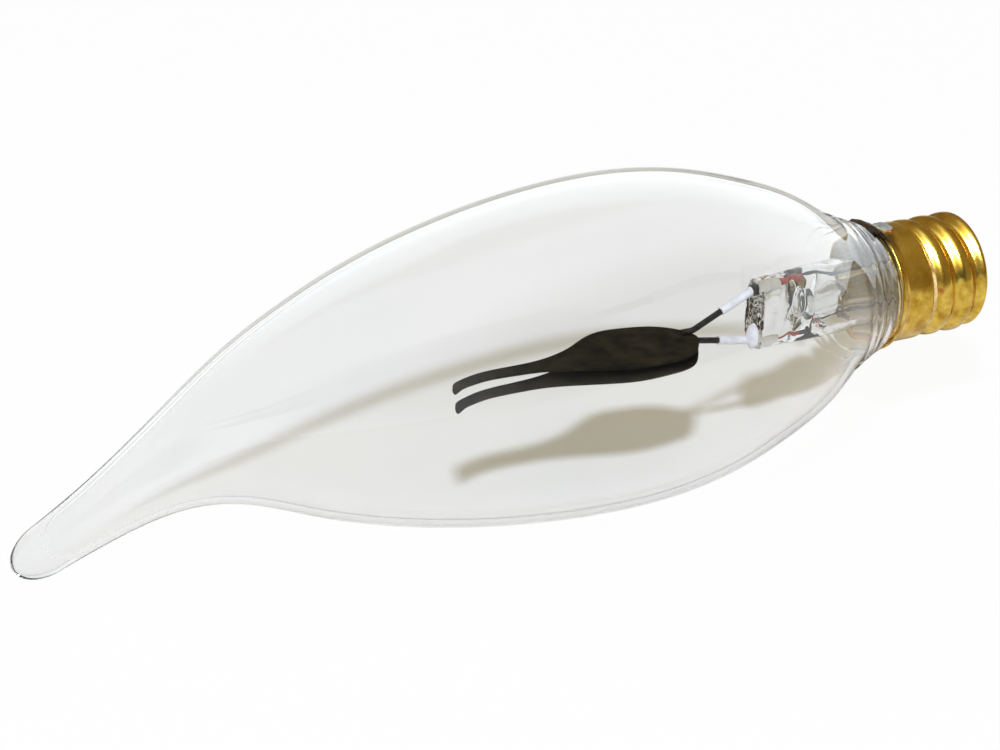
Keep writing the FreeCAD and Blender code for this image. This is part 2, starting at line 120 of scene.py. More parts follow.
def add(tree, kind, *values, stops=(), **settings):
    """Add a node. Values feed its sockets in order. A setting with a small first letter is a property of the node,
    one with a capital is a socket by name, with _ for a space, and _ with a number is the socket of that number.
    Stops are the (position, hex colour) pairs of a colour ramp."""
    node = tree.nodes.new(kind)
    sockets = dict(enumerate(values))
    for name, value in settings.items():
        if name[0].islower():
            setattr(node, name, value)
        else:
            sockets[int(name[1:]) if name[1:].isdigit() else name.replace("_", " ")] = value
    for name, value in sockets.items():
        if isinstance(value, bpy.types.Node):
            value = value.outputs[0]
        if isinstance(value, bpy.types.NodeSocket):
            tree.links.new(value, node.inputs[name])
        else:
            node.inputs[name].default_value = value
    if stops:
        elements = node.color_ramp.elements
        while len(elements) < len(stops):
            elements.new(0.5)
        for element, (position, code) in zip(elements, stops):
            element.position = position
            element.color = srgb(code)
    return node


def material(name):
    """New material and its emptied node tree."""
    made = bpy.data.materials.new(name)
    made.use_nodes = True
    made.node_tree.nodes.clear()
    return made, made.node_tree


def place(tree, scale=1.0):
    """Object coordinates in millimetres, times a scale."""
    coordinates = add(tree, "ShaderNodeTexCoord")
    return add(tree, "ShaderNodeMapping", Vector=coordinates.outputs["Object"], Scale=(TO_MM * scale,) * 3)


print("half of full brightness as hex #808080 is", round(srgb("#808080")[0], 3), "in linear light")

# %% [markdown]
# ## Clear blown glass
# Soda-lime glass has an index of refraction near 1.52 and no colour of its own when it is this thin. Blowing
# leaves long, shallow waves in the wall, which is why reflections on old bulbs wobble. A renderer's glass throws
# a solid shadow, so rays from lamps meet a clear film instead, which darkens where it is seen edge-on. That
# gives the soft brown-grey bands that a real bulb throws on the table. Light that a matt piece sends out passes
# the glass freely, which keeps the floor under the bulb light.
#
# The photograph's bulb has a flatter outline than full glass gives, and no dark crescents in its solid tip. So the
# index is lowered along the bulb, and the last few degrees of its outline go over into a light haze.

# %% Glass recipe
SODA_LIME_INDEX = 1.52
TIP_REACH = (1.0, 16.0)      # mm from the end of the tip, between which the index goes over to that of the body
NECK_REACH = (-22.0, -8.0)   # mm from the rim, between which it goes over to that of the neck
FILM_STEP = 3.0              # mm below and above the level at which the film's edges start to darken
SOFT_EDGE = (0.84, 0.95)     # how edge-on the wall is seen where the haze starts and where it is full
EDGE_HAZE = "#F4F5F5"


def index_along(tree, at_tip, on_body, at_neck):
    """Index of refraction that changes along the lamp."""
    along = add(tree, "ShaderNodeSeparateXYZ", place(tree)).outputs["X"]
    tip_end, rim = TO_MM * cad_low.x, TO_MM * rim_centre.x
    body = add(tree, "ShaderNodeMapRange", along, tip_end + TIP_REACH[0], tip_end + TIP_REACH[1], at_tip, on_body,
               interpolation_type="SMOOTHSTEP")
    neck = add(tree, "ShaderNodeMapRange", along, rim + NECK_REACH[0], rim + NECK_REACH[1], 0.0, at_neck - on_body,
               interpolation_type="SMOOTHSTEP")
    return add(tree, "ShaderNodeMath", body, neck, operation="ADD")


def clear_glass(name, tint, film_face, film_edge, edge_start, waves, wave_size, depth, bends=None, pale_shadow_below=None,
                soft_edge=False):
    """Glass with waves wave_size mm long and depth mm deep, and a film that darkens from edge_start on. Bends are the
    index of refraction at the tip, over the body and at the neck. Below pale_shadow_below mm over the floor the film
    stays light. This is painted light: it keeps the shadow of the lower wall pale, and the wall is no thinner there.
    A soft edge hides the outline, as a white ground does."""
    made, tree = material(name)
    wave = add(tree, "ShaderNodeTexNoise", Vector=place(tree, 1 / wave_size), Scale=1.0, Detail=2.0)
    bump = add(tree, "ShaderNodeBump", Strength=waves, Distance=depth * MM, Height=wave)
    hue = add(tree, "ShaderNodeValToRGB", wave, stops=((0.3, tint), (0.7, "#FFFFFF")))
    solid_glass = add(tree, "ShaderNodeBsdfPrincipled", Base_Color=hue, Roughness=0.0, Transmission_Weight=1.0,
                      IOR=index_along(tree, *bends) if bends else SODA_LIME_INDEX, Normal=bump)
    facing = add(tree, "ShaderNodeLayerWeight", Blend=0.5).outputs["Facing"]
    film_hue = add(tree, "ShaderNodeValToRGB", facing,
                   stops=((0.0, film_face), (edge_start, film_face), (1.0, film_edge))).outputs[0]
    # Painted light: below this height the film is kept light, so the lower glass casts a paler shadow
    if pale_shadow_below:
        level = add(tree, "ShaderNodeSeparateXYZ", place(tree)).outputs["Z"]
        dark_shadow_share = add(tree, "ShaderNodeMapRange", level, pale_shadow_below - FILM_STEP, pale_shadow_below + FILM_STEP, 0.0, 1.0,
                    interpolation_type="SMOOTHSTEP")
        film_hue = add(tree, "ShaderNodeMix", data_type="RGBA", Factor=dark_shadow_share, _6=srgb(film_face),
                       _7=film_hue).outputs[2]
    film = add(tree, "ShaderNodeBsdfTransparent", film_hue)
    if soft_edge:
        grazing = add(tree, "ShaderNodeMapRange", facing, *SOFT_EDGE, 0.0, 1.0, interpolation_type="SMOOTHSTEP")
        haze = add(tree, "ShaderNodeBsdfTransparent", srgb(EDGE_HAZE))
        solid_glass = add(tree, "ShaderNodeMixShader", grazing, solid_glass, haze)
    light_path = add(tree, "ShaderNodeLightPath")
    open_air = add(tree, "ShaderNodeBsdfTransparent")
    scattered = add(tree, "ShaderNodeMixShader", light_path.outputs["Is Diffuse Ray"], solid_glass, open_air)
    seen = add(tree, "ShaderNodeMixShader", light_path.outputs["Is Shadow Ray"], scattered, film)
    add(tree, "ShaderNodeOutputMaterial", Surface=seen)
    return made


print("edges of the glass fade from", SOFT_EDGE[0], "to", SOFT_EDGE[1], "of edge-on")

# %% The two glasses
# Thin and blown: nearly invisible, with a faint grey at its edges and slow waves in what it mirrors
bulb_glass = clear_glass("clear blown soda-lime glass", "#FCFDFD", "#FDFDFC", "#5A554B", 0.55, 0.15, 16.0, 0.2,
                         bends=(1.22, 1.4, SODA_LIME_INDEX), pale_shadow_below=16.0, soft_edge=True)
# Thick and pinched while soft: lively, with short ripples that break up what lies behind, and a greyer shadow
stem_glass = clear_glass("pressed lead glass", "#F4F5F3", "#A39C8C", "#1E1B16", 0.2, 0.5, 1.6, 0.1)
print("glass materials:", bulb_glass.name, "/", stem_glass.name)

# %% [markdown]
# ## The bulb's outline
# A mould gives the lower part of the bulb its outline, and the tip is drawn out by hand. So the outline is a smooth
# curve through a few stations that were measured, as shares of the height and of the growth in radius. A cubic
# curve through points (a spline) is found by solving one small set of equations.

# %% Sizes of the glass and its stations
NECK_RADIUS, NECK_BOTTOM, NECK_TOP = 5.05, -4.6, -1.2
SHOULDER_RADIUS, SHOULDER_HEIGHT = 6.30, 0.45
BELLY_RADIUS, BELLY_HEIGHT = 16.285, 31.5
TIP_RADIUS, GLASS_LENGTH = 2.45, 96.18
GLASS_WALL, SOLID_TIP = 0.70, 3.4
LOWER_SHAPE = ((0.048, 0.040), (0.095, 0.105), (0.162, 0.215), (0.292, 0.475), (0.454, 0.700), (0.651, 0.890),
               (0.873, 0.995))
UPPER_SHAPE = ((0.062, 0.998), (0.241, 0.902), (0.399, 0.733), (0.556, 0.469), (0.716, 0.166), (0.842, 0.043),
               (0.937, 0.0))

neck_stations = [(NECK_RADIUS, NECK_BOTTOM), (NECK_RADIUS, NECK_BOTTOM * 0.6), (NECK_RADIUS, NECK_TOP),
                 ((NECK_RADIUS + SHOULDER_RADIUS) / 2, (NECK_TOP + SHOULDER_HEIGHT) / 2),
                 (SHOULDER_RADIUS, SHOULDER_HEIGHT)]
lower_stations = [(SHOULDER_RADIUS + (BELLY_RADIUS - SHOULDER_RADIUS) * growth, BELLY_HEIGHT * rise)
                  for rise, growth in LOWER_SHAPE]
upper_stations = [(TIP_RADIUS + (BELLY_RADIUS - TIP_RADIUS) * growth,
                   BELLY_HEIGHT + (GLASS_LENGTH - BELLY_HEIGHT) * rise) for rise, growth in UPPER_SHAPE]
stations = neck_stations + lower_stations + upper_stations
print("outline stations:", len(stations))


# %% A smooth curve through stations
def spline(points, count):
    """Natural cubic spline through points, sampled evenly by chord length."""
    points = np.array(points, float)
    knots = np.concatenate([[0], np.cumsum(np.linalg.norm(np.diff(points, axis=0), axis=1))])
    steps = np.diff(knots)
    size = len(points)
    system, right = np.eye(size), np.zeros_like(points)
    for i in range(1, size - 1):
        system[i, i - 1:i + 2] = steps[i - 1], 2 * (steps[i - 1] + steps[i]), steps[i]
        right[i] = 6 * ((points[i + 1] - points[i]) / steps[i] - (points[i] - points[i - 1]) / steps[i - 1])
    bend = np.linalg.solve(system, right)
    at = np.linspace(0, knots[-1], count)
    k = np.clip(np.searchsorted(knots, at, side="right") - 1, 0, size - 2)
    a, b, h = (knots[k + 1] - at)[:, None], (at - knots[k])[:, None], steps[k][:, None]
    return ((bend[k] * a ** 3 + bend[k + 1] * b ** 3) / (6 * h)
            + (points[k] / h - bend[k] * h / 6) * a + (points[k + 1] / h - bend[k + 1] * h / 6) * b)


def smooth_step(t):
    """Ease from 0 to 1 with level ends."""
    t = np.clip(t, 0.0, 1.0)
    return t * t * (3.0 - 2.0 * t)


OUTLINE_STEPS = 320
smooth_outline = spline(stations, OUTLINE_STEPS)
print("widest diameter in mm:", round(2 * smooth_outline[:, 0].max(), 2))

# %% [markdown]
# ## Rings on a bent centreline
# Each ring of the bulb stands square to a centreline that leans by three degrees over the body and then turns by
# another twenty-four degrees in the tip. Adding up small steps along the turned direction gives the centreline.
# A bend modifier would also do it, but it would squeeze the rings on the inside of the bend.

# %% Centreline and rings
BODY_TURN, TIP_TURN = 3.0, 24.0
BEND_START, BEND_END = GLASS_LENGTH * 0.645, GLASS_LENGTH * 0.894
PATH_START, PATH_END, PATH_POINTS = -10, 110, 4801


def centreline(heights):
    """Points (x, z) and turn in radians at heights measured along the bent centreline."""
    path = np.linspace(PATH_START, PATH_END, PATH_POINTS)
    turn = np.radians(BODY_TURN * np.clip(path, 0, BEND_START) / BEND_START
                      + TIP_TURN * smooth_step((path - BEND_START) / (BEND_END - BEND_START)))
    step = path[1] - path[0]
    x = np.cumsum(np.sin(turn)) * step
    z = np.cumsum(np.cos(turn)) * step
    x -= np.interp(0, path, x)
    z -= np.interp(0, path, z)
    return np.interp(heights, path, x), np.interp(heights, path, z), np.interp(heights, path, turn)


def bent_rings(profile, around):
    """Rings (rows, around, 3) for (radius, height) rows on the bent centreline."""
    radius, height = np.array(profile).T
    x, z, turn = centreline(height)
    angle = np.arange(around) * 2 * math.pi / around
    across = radius[:, None] * np.cos(angle)
    side = radius[:, None] * np.sin(angle)
    return np.stack([x[:, None] + across * np.cos(turn)[:, None], side,
                     z[:, None] - across * np.sin(turn)[:, None]], axis=2)


print("the centreline's tip in mm (x, z):", [round(float(value), 2) for value in centreline(GLASS_LENGTH)[:2]])

# %% [markdown]
# ## Meshes from rings
# Rings of equal count are joined by quads. A closed body gets a fan of triangles at each end. A blown piece is one
# closed wall: an outer and an inner skin, joined at the open end, because a renderer bends light rightly only where
# glass has both its surfaces, with their faces turned away from the glass.


# %% Faces between rings
def skin_faces(rows, around, start=0, turned=False):
    """Quads between rings, wound so that rings that rise along Z face outwards."""
    faces = []
    for row in range(rows - 1):
        for index in range(around):
            after = (index + 1) % around
            low, high = start + row * around, start + (row + 1) * around
            face = (low + index, low + after, high + after, high + index)
            faces.append(face[::-1] if turned else face)
    return faces


def fan(ring_start, around, centre, turned=False):
    """Triangles from a ring to its centre point."""
    faces = [(ring_start + index, ring_start + (index + 1) % around, centre) for index in range(around)]
    return [face[::-1] for face in faces] if turned else faces


print("a tube of 2 rings of 6 points has", len(skin_faces(2, 6)), "faces")


# %% Objects from rings
def to_object(name, points, faces, surface):
    """Smooth object from points in lamp millimetres."""
    mesh = bpy.data.meshes.new(name)
    mesh.from_pydata([lamp_frame @ (Vector(point) * MM) for point in points], [], faces)
    mesh.shade_smooth()
    mesh.materials.append(surface)
    piece = bpy.data.objects.new(name, mesh)
    bpy.context.scene.collection.objects.link(piece)
    return piece


def solid(name, rings, surface):
    """Closed body through rings, with a fan at each end."""
    rows, around = rings.shape[:2]
    points = np.concatenate([rings.reshape(-1, 3), [rings[0].mean(axis=0)], [rings[-1].mean(axis=0)]])
    faces = skin_faces(rows, around)
    faces += fan(0, around, rows * around, True) + fan((rows - 1) * around, around, rows * around + 1)
    return to_object(name, points, faces, surface)


def closed_wall(name, outer, inner, surface, bubble=None):
    """Outer and inner skins joined at their first rings, each closed by a fan at its last ring. A bubble is a
    closed skin of rings inside the wall, turned inside out because it holds no glass."""
    around = outer.shape[1]
    shift = len(outer) * around
    points = np.concatenate([outer.reshape(-1, 3), inner.reshape(-1, 3), [outer[-1].mean(axis=0)],
                             [inner[-1].mean(axis=0)]])
    faces = skin_faces(len(outer), around) + skin_faces(len(inner), around, shift, True)
    for index in range(around):
        after = (index + 1) % around
        faces.append((after, index, shift + index, shift + after))
    faces += fan(shift - around, around, len(points) - 2)
    faces += fan(shift + (len(inner) - 1) * around, around, len(points) - 1, True)
    if bubble is not None:
        rows, turns = bubble.shape[:2]
        first = len(points)
        points = np.concatenate([points, bubble.reshape(-1, 3), [bubble[0].mean(axis=0)], [bubble[-1].mean(axis=0)]])
        faces += skin_faces(rows, turns, first, True) + fan(first, turns, len(points) - 2)
        faces += fan(first + (rows - 1) * turns, turns, len(points) - 1, True)
    return to_object(name, points, faces, surface)


def keep(piece, slot, *replaced):
    """Put a finished piece on the lamp's body in place of CAD nodes."""
    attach(piece, "root")
    if replaced:
        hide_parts(*replaced)
    print(piece.name, "faces:", len(piece.data.polygons))
    return piece


# %% [markdown]
# ## The bulb
# The real bulb is one wall of glass, thin over the belly and drawn together into a solid drop at the tip. Where it
# was fused to its stem, low ridges run round the shoulder. The inner outline is the outer one, moved in by the
# thickness of the wall and stopped before the drop. Both get a rounded end. Spinning a curve in the viewport would
# give a straight bulb only, so the rings are laid on the bent centreline instead.

# %% The bulb's outer and inner profile
NECK_RIDGES = ((1.5, 0.35, 0.15), (2.7, 0.40, 0.14), (4.2, 0.50, 0.08))   # height, half width and rise in mm
BOND, BOND_FADE = 0.04, 0.4   # the neck is this much wider where the cement grips it
NEAR_POLE = math.radians(88)  # a rounded end stops here, and a fan closes it
END_STEPS = 24


def round_end(radius, height, length):
    """Rows that close a tube with a rounded end."""
    turn = np.linspace(0, NEAR_POLE, END_STEPS + 1)[1:]
    return np.stack([radius * np.cos(turn), height + length * np.sin(turn)], axis=1)


along_wall = np.gradient(smooth_outline, axis=0)
along_wall /= np.linalg.norm(along_wall, axis=1)[:, None]
moved_in = smooth_outline + GLASS_WALL * np.stack([-along_wall[:, 1], along_wall[:, 0]], axis=1)
inside = moved_in[moved_in[:, 1] < GLASS_LENGTH - 2 * SOLID_TIP]
outside = smooth_outline.copy()
outside[:, 0] += BOND * (1 - smooth_step((outside[:, 1] - NECK_TOP) / BOND_FADE))
for ridge_height, ridge_width, ridge_rise in NECK_RIDGES:
    outside[:, 0] += ridge_rise * np.exp(-((outside[:, 1] - ridge_height) / ridge_width) ** 2)
outer_end = round_end(outside[-1, 0], outside[-1, 1], GLASS_LENGTH - outside[-1, 1])
inner_end = round_end(inside[-1, 0], inside[-1, 1], GLASS_LENGTH - SOLID_TIP - inside[-1, 1])
print("rows outside and inside:", len(outside) + len(outer_end), len(inside) + len(inner_end))

# %% Build the bulb as one closed wall
BULB_AROUND = 144
outer_rings = bent_rings(np.concatenate([outside, outer_end]), BULB_AROUND)
inner_rings = bent_rings(np.concatenate([inside, inner_end]), BULB_AROUND)
keep(closed_wall("bulb", outer_rings, inner_rings, bulb_glass), "clear_glass", "glass_envelope")

# %% [markdown]
# ## The glass stem
# A flared tube is fused into the neck. Its top was heated and pinched flat round the wires, which leaves a press
# with rounded corners and a rippled face. The section goes from a circle to a rounded rectangle, which one
# formula covers: a superellipse, whose squareness grows from 2 upwards. Sculpting would give the ripples too, but
# a few crossed waves are quicker and can be changed later.

# %% Sizes of the stem
STEM_LEAN = math.radians(2.25)
STEM_RADIUS, STEM_WALL, STEM_SHOULDER = 3.70, 0.65, 5.6
PRESS_BOTTOM, PRESS_TOP, EDGE_ROUND = 9.9, 13.7, 0.35
PRESS_HALF_WIDTH, PRESS_HALF_THICKNESS, PRESS_SQUARENESS = 3.65, 1.65, 3.6
FLARE_HEIGHT, FLARE_SPREAD = 2.6, 0.6
BORE_RADIUS, BORE_TOP = STEM_RADIUS - STEM_WALL, 7.6
BUBBLE_AT, BUBBLE_RADII = (-0.6, 0.25, 8.75), (1.55, 1.0, 0.95)
STEM_AROUND, BALL_AROUND, BALL_ROWS = 96, 48, 25
FLARE_ROWS, TUBE_ROWS, PINCH_ROWS, PRESS_ROWS, EDGE_ROWS, CAP_ROWS = 14, 16, 24, 20, 7, 18
BORE_FLARE_ROWS, BORE_TUBE_ROWS, DOME_ROWS = 10, 10, 20
CAP_CENTRE = 0.03   # share of the press at which the rings of its cap stop and a fan closes it
CIRCLE = 2.0        # squareness of a circle or an ellipse
print("press in mm:", 2 * PRESS_HALF_WIDTH, "wide,", 2 * PRESS_HALF_THICKNESS, "dark_shadow_share")


# %% Sections and uneven surfaces
def on_stem(points):
    """Lean points of the upright stem about the seal at the bottom of the neck."""
    points = np.array(points, float)
    x, z = points[..., 0], points[..., 2] - NECK_BOTTOM
    return np.stack([x * math.cos(STEM_LEAN) + z * math.sin(STEM_LEAN), points[..., 1],
                     z * math.cos(STEM_LEAN) - x * math.sin(STEM_LEAN) + NECK_BOTTOM], axis=-1)


def section(height, half_x, half_y, squareness=CIRCLE, around=STEM_AROUND):
    """Superellipse ring: 2 gives an ellipse and larger values a rounded rectangle."""
    angle = np.arange(around) * 2 * math.pi / around
    x = half_x * np.sign(np.cos(angle)) * np.abs(np.cos(angle)) ** (2 / squareness)
    y = half_y * np.sign(np.sin(angle)) * np.abs(np.sin(angle)) ** (2 / squareness)
    return np.stack([x, y, np.full(around, height)], axis=1)


def circle(height, radius, around=STEM_AROUND):
    """Round ring."""
    return section(height, radius, radius, CIRCLE, around)


def bumpy(points, size, depth, seed=0.0):
    """How far a few crossed waves, about size mm long, push points about: at most depth."""
    x, y, z = (points[..., axis] / size * 2 * math.pi + seed * (axis + 1) for axis in range(3))
    wave = (np.sin(x + 1.3 * np.sin(y * 0.7 + z)) + np.sin(y * 1.1 + 1.7 * np.sin(z * 0.8 + seed))
            + np.sin(z * 0.9 + 1.1 * np.sin(x * 1.3 - y))) / 3
    return wave * depth


def rough_ball(radii, size, depth, seed):
    """Rings of an uneven ball with three radii in mm."""
    falls = np.linspace(-NEAR_POLE, NEAR_POLE, BALL_ROWS)
    ball = np.array([circle(math.sin(fall), math.cos(fall), BALL_AROUND) for fall in falls])
    return ball * (1 + bumpy(ball, size, depth, seed))[..., None] * np.array(radii)


print("points in a stem ring:", len(circle(0.0, STEM_RADIUS)))


# %% Outside of the stem: flare, tube, pinch, press, rounded edge and cap
def stem_outside():
    """Rings from the seal in the neck up to the middle of the press's top."""
    rings = [circle(NECK_BOTTOM + FLARE_HEIGHT * share, STEM_RADIUS + FLARE_SPREAD * (1 - share) ** 2)
             for share in np.linspace(0, 1, FLARE_ROWS)]
    rings += [circle(height, STEM_RADIUS)
              for height in np.linspace(NECK_BOTTOM + FLARE_HEIGHT, STEM_SHOULDER, TUBE_ROWS)[1:]]
    for share in np.linspace(0, 1, PINCH_ROWS)[1:]:
        blend = smooth_step(share)
        rings.append(section(STEM_SHOULDER + (PRESS_BOTTOM - STEM_SHOULDER) * share,
                             STEM_RADIUS + (PRESS_HALF_WIDTH - STEM_RADIUS) * blend,
                             STEM_RADIUS + (PRESS_HALF_THICKNESS - STEM_RADIUS) * blend,
                             CIRCLE + (PRESS_SQUARENESS - CIRCLE) * blend))
    for height in np.linspace(PRESS_BOTTOM, PRESS_TOP - EDGE_ROUND, PRESS_ROWS)[1:]:
        rings.append(section(height, PRESS_HALF_WIDTH, PRESS_HALF_THICKNESS, PRESS_SQUARENESS))
    for turn in np.linspace(0, math.pi / 2, EDGE_ROWS)[1:]:
        inset = EDGE_ROUND * (1 - math.cos(turn))
        rings.append(section(PRESS_TOP - EDGE_ROUND + EDGE_ROUND * math.sin(turn), PRESS_HALF_WIDTH - inset,
                             PRESS_HALF_THICKNESS - inset, PRESS_SQUARENESS))
    for share in np.linspace(1, CAP_CENTRE, CAP_ROWS)[1:]:
        rings.append(section(PRESS_TOP, (PRESS_HALF_WIDTH - EDGE_ROUND) * share,
                             (PRESS_HALF_THICKNESS - EDGE_ROUND) * share, PRESS_SQUARENESS))
    return np.array(rings)


RIPPLE_START, RIPPLE_FADE = 6.5, 3.0     # mm above the rim, where the pinch's ripples start and grow to full
CRACKLE_DROP, CRACKLE_FADE = 0.25, 0.2   # mm below the press's top, where its crackled cap starts
CRACKLE_SINK = 0.12                      # mm that the cap sinks, so that its bumps stay below the press's height

stem_outer = stem_outside()
rippled = smooth_step((stem_outer[..., 2] - RIPPLE_START) / RIPPLE_FADE)
stem_outer[..., 1] *= 1 + bumpy(stem_outer, 2.6, 0.05) * rippled
stem_outer[..., 0] *= 1 + bumpy(stem_outer, 1.9, 0.02, 2.0) * rippled
crackled = smooth_step((stem_outer[..., 2] - (PRESS_TOP - CRACKLE_DROP)) / CRACKLE_FADE)
stem_outer[..., 2] += (bumpy(stem_outer, 0.8, 0.16, 4.0) - CRACKLE_SINK) * crackled
print("rings outside the stem:", len(stem_outer))


# %% Bore and bubble of the stem, and the whole stem as one closed wall
def stem_bore():
    """Rings of the bore up to its domed end."""
    rings = [circle(NECK_BOTTOM + FLARE_HEIGHT * share, BORE_RADIUS + FLARE_SPREAD * (1 - share) ** 2)
             for share in np.linspace(0, 1, BORE_FLARE_ROWS)]
    rings += [circle(height, BORE_RADIUS)
              for height in np.linspace(NECK_BOTTOM + FLARE_HEIGHT, STEM_SHOULDER, BORE_TUBE_ROWS)[1:]]
    rings += [circle(STEM_SHOULDER + (BORE_TOP - STEM_SHOULDER) * math.sin(turn), BORE_RADIUS * math.cos(turn))
              for turn in np.linspace(0, math.radians(87), DOME_ROWS)[1:]]
    return np.array(rings)


bubble = rough_ball(BUBBLE_RADII, 2.2, 0.05, 5.0) + np.array(BUBBLE_AT)
keep(closed_wall("pinched_stem", on_stem(stem_outer), on_stem(stem_bore()), stem_glass, on_stem(bubble)),
     "stem_glass", "glass_stem")

# %% [markdown]
# ## The exhaust tube
# The air was pumped out through a thin tube, which was then melted off. It hangs below the pinch, closed with a
# round drop. As the shell hides all but its top, it is a plain round bar here. A bored tube would show no more.

# %% Exhaust tube, drawn off round at the bottom
EXHAUST_RADIUS, EXHAUST_BOTTOM, EXHAUST_TOP = 1.44, -7.0, 7.55
EXHAUST_AROUND = 64
exhaust_rings = [circle(EXHAUST_BOTTOM - EXHAUST_RADIUS * math.sin(turn), EXHAUST_RADIUS * math.cos(turn),
                        EXHAUST_AROUND) for turn in np.linspace(NEAR_POLE, 0, 16)]
exhaust_rings += [circle(height, EXHAUST_RADIUS, EXHAUST_AROUND)
                  for height in np.linspace(EXHAUST_BOTTOM, EXHAUST_TOP, 30)[1:]]
keep(solid("drawn_exhaust_tube", on_stem(np.array(exhaust_rings)), stem_glass), "stem_glass", "exhaust_tube")

# %% [markdown]
# ## The screw shell
# Such a shell is rolled from a drawn brass cup: a wheel presses a round thread into it. The groove is a little
# narrower than the crest, which raising a wave to a power gives. That rule is easy to say in Geometry Nodes: a
# flat grid is wrapped to a tube, and the wave that sinks into it turns once in each pitch. A Screw modifier makes
# threads too, but its ends stay open and don't run out into the skirt.

# %% Sizes of the screw shell
SHELL_SIZES = {
    "Skirt radius": 5.95, "Rim radius": RIM_RADIUS, "Rim height": 1.2, "Thread start": -3.6, "Thread end": -10.2,
    "Thread run": 1.0, "Pitch": 2.54, "Depth": 0.55, "Crest radius": 5.93, "Phase": math.radians(200),
    "Roundness": 1.8, "Shell end": -11.4, "End radius": 4.35}
SHELL_WALL = 0.25
SHELL_AROUND, SHELL_ROWS = 181, 240
SEAM_GAP = 0.001   # mm within which the wrapped grid's two edges are merged
print("thread crest diameter in mm:", 2 * SHELL_SIZES["Crest radius"])


# %% Node tree that rolls the thread
def rolled_shell_tree():
    """Tube with a rim, a rolled thread and a curled lower edge, in lamp millimetres."""
    tree = bpy.data.node_groups.new("rolled screw shell", "GeometryNodeTree")
    tree.interface.new_socket("Geometry", in_out="OUTPUT", socket_type="NodeSocketGeometry")
    for name in SHELL_SIZES:
        tree.interface.new_socket(name, in_out="INPUT", socket_type="NodeSocketFloat")
    tree.interface.new_socket("Material", in_out="INPUT", socket_type="NodeSocketMaterial")
    given = tree.nodes.new("NodeGroupInput").outputs

    # The grid's X goes round the shell and its Y goes down it
    grid = add(tree, "GeometryNodeMeshGrid", 1.0, 1.0, SHELL_AROUND, SHELL_ROWS)
    where = add(tree, "ShaderNodeSeparateXYZ", add(tree, "GeometryNodeInputPosition"))
    across = add(tree, "ShaderNodeMath", where.outputs["X"], 0.5, operation="ADD")
    around = add(tree, "ShaderNodeMath", across, 2 * math.pi, operation="MULTIPLY")
    down = add(tree, "ShaderNodeMath", 0.5, where.outputs["Y"], operation="SUBTRACT")
    height = add(tree, "ShaderNodeMath", down, given["Shell end"], operation="MULTIPLY")

    # Where the thread starts, where the lower edge curls in, and how far the rim flares out
    run_end = add(tree, "ShaderNodeMath", given["Thread start"], given["Thread run"], operation="SUBTRACT")
    start = add(tree, "ShaderNodeMapRange", height, run_end, given["Thread start"], 1.0, 0.0,
                interpolation_type="SMOOTHSTEP")
    closing = add(tree, "ShaderNodeMapRange", height, given["Shell end"], given["Thread end"], 1.0, 0.0,
                  interpolation_type="SMOOTHSTEP")
    below_rim = add(tree, "ShaderNodeMath", given["Rim height"], -1.0, operation="MULTIPLY")
    rim_growth = add(tree, "ShaderNodeMath", given["Rim radius"], given["Skirt radius"], operation="SUBTRACT")
    flare = add(tree, "ShaderNodeMapRange", height, below_rim, 0.0, 0.0, rim_growth,
                interpolation_type="SMOOTHSTEP")
    end_growth = add(tree, "ShaderNodeMath", given["End radius"], given["Crest radius"], operation="SUBTRACT")
    curling = add(tree, "ShaderNodeMath", closing, 2.0, operation="POWER")
    curl = add(tree, "ShaderNodeMath", end_growth, curling, operation="MULTIPLY")

    # The groove: a wave that has turned once after each pitch, narrowed by a power
    pitches = add(tree, "ShaderNodeMath", height, given["Pitch"], operation="DIVIDE")
    turned = add(tree, "ShaderNodeMath", pitches, 2 * math.pi, operation="MULTIPLY")
    turn = add(tree, "ShaderNodeMath", given["Phase"], turned, operation="ADD")
    lag = add(tree, "ShaderNodeMath", turn, around, operation="SUBTRACT")
    swing = add(tree, "ShaderNodeMath", lag, operation="COSINE")
    dip = add(tree, "ShaderNodeMath", 1.0, swing, operation="SUBTRACT")
    valley = add(tree, "ShaderNodeMath", dip, 0.5, operation="MULTIPLY")
    narrowed = add(tree, "ShaderNodeMath", valley, given["Roundness"], operation="POWER")
    full_groove = add(tree, "ShaderNodeMath", narrowed, given["Depth"], operation="MULTIPLY")
    run_in = add(tree, "ShaderNodeMath", full_groove, start, operation="MULTIPLY")
    still_open = add(tree, "ShaderNodeMath", 1.0, closing, operation="SUBTRACT")
    groove = add(tree, "ShaderNodeMath", run_in, still_open, operation="MULTIPLY")

    # The radius from all of these, and the grid wrapped to it
    crest_growth = add(tree, "ShaderNodeMath", given["Crest radius"], given["Skirt radius"], operation="SUBTRACT")
    to_crest = add(tree, "ShaderNodeMath", crest_growth, start, operation="MULTIPLY")
    plain = add(tree, "ShaderNodeMath", given["Skirt radius"], to_crest, operation="ADD")
    flared = add(tree, "ShaderNodeMath", plain, flare, operation="ADD")
    curled = add(tree, "ShaderNodeMath", flared, curl, operation="ADD")
    radius = add(tree, "ShaderNodeMath", curled, groove, operation="SUBTRACT")
    cosine = add(tree, "ShaderNodeMath", around, operation="COSINE")
    sine = add(tree, "ShaderNodeMath", around, operation="SINE")
    x = add(tree, "ShaderNodeMath", radius, cosine, operation="MULTIPLY")
    y = add(tree, "ShaderNodeMath", radius, sine, operation="MULTIPLY")
    wrapped = add(tree, "GeometryNodeSetPosition", Geometry=grid,
                  Position=add(tree, "ShaderNodeCombineXYZ", x, y, height))
    closed = add(tree, "GeometryNodeMergeByDistance", Geometry=wrapped, Distance=SEAM_GAP)
    real = add(tree, "GeometryNodeRealizeInstances", Geometry=closed)
    finished = add(tree, "GeometryNodeSetMaterial", Geometry=real, Material=given["Material"])
    add(tree, "NodeGroupOutput", Geometry=finished)
    return tree


shell_tree = rolled_shell_tree()
print("nodes in the shell's tree:", len(shell_tree.nodes))


